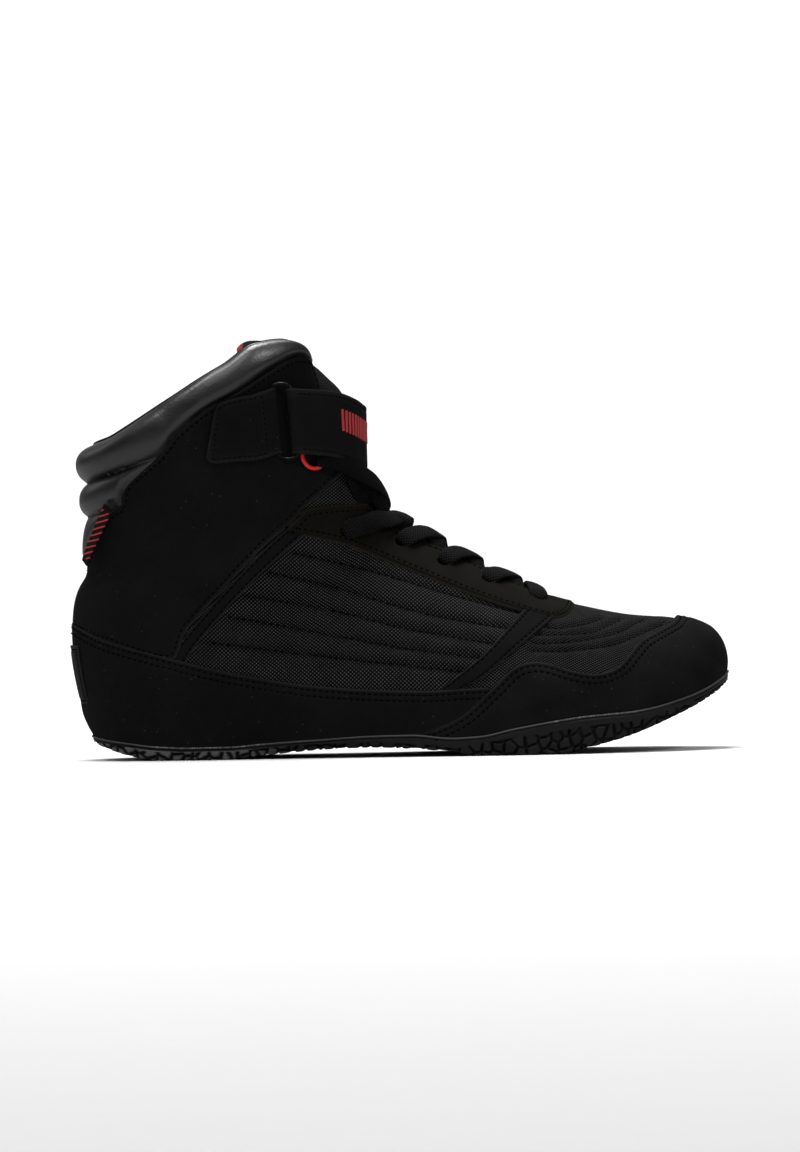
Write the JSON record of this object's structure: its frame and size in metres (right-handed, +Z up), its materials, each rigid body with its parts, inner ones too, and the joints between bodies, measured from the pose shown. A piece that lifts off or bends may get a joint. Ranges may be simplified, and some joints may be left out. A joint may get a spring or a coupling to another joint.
{
  "type": "high-top training shoe",
  "caption": "Right high-top training shoe with mesh sides, padded collar, ankle strap through a wire ring, laces over the throat and a lugged rubber sole.",
  "frame": {"origin": "on the floor, under the middle of the shoe's box", "axes": "+X from heel to toe, +Y towards the inner side of the foot, +Z up from the floor"},
  "size_m": [0.2928, 0.104, 0.1846],
  "materials": {
    "textile": "woven mesh, matte",
    "rubber": "satin",
    "footbed": "matte",
    "tongue_fabric": "matte",
    "nubuck": "napped, matte",
    "facing": "napped, matte",
    "leather": "smooth, semi-gloss",
    "patch": "satin",
    "woven_label": "woven",
    "webbing": "matte",
    "wire": "black, semi-gloss",
    "lace": "woven, matte",
    "red_ring": "glossy"
  },
  "bodies": {
    "root": {"upper": "textile", "outsole": "rubber", "insole": "footbed", "tongue": "tongue_fabric", "toe_guard": "nubuck", "heel_foxing": "nubuck", "ankle_panel": "nubuck", "ankle_edging_lateral": "nubuck", "ankle_edging_medial": "nubuck", "forefoot_strip_lateral": "nubuck", "forefoot_strip_medial": "nubuck", "eyestay": "facing", "collar_cuff": "leather", "heel_patch": "patch", "heel_label": "woven_label", "strap": "webbing", "strap_tab": "nubuck", "strap_ring": "wire", "lace_crossing_1": "lace", "lace_crossing_2": "lace", "lace_crossing_3": "lace", "lace_crossing_4": "lace", "lace_crossing_top": "lace", "lace_bar": "lace", "lace_ring_lateral": "red_ring", "lace_ring_medial": "red_ring"}
  },
  "joints": []
}
